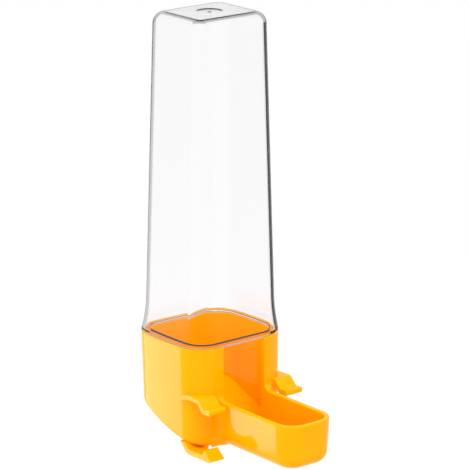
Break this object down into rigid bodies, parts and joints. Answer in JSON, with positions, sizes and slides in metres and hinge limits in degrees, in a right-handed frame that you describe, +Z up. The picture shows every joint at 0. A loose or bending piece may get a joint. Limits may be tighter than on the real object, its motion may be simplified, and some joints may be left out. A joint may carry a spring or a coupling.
{
  "type": "bird cage waterer",
  "caption": "Gravity waterer that hooks on a bird cage's wires: upturned clear reservoir on a cup with a drinking trough.",
  "frame": {"origin": "centre of the upper cage wire, midway between the two upper hooks", "axes": "+Z up, +X along the cage wires, -Y through the wires into the cage, the way the trough points"},
  "size_m": [0.0474, 0.0855, 0.1702],
  "materials": {
    "orange_plastic": "smooth glossy injection-moulded plastic, solid orange-yellow",
    "clear_plastic": "clear colourless injection-moulded polystyrene, smooth inside and out"
  },
  "bodies": {
    "cup": {"hooked_cup": "orange_plastic"},
    "lifted_reservoir": {"reservoir": "clear_plastic"}
  },
  "joints": [
    {"name": "lift_off", "type": "slide", "parent": "cup", "child": "lifted_reservoir", "axis": [0, 0, 1], "range_m": [0, 0.04]}
  ]
}
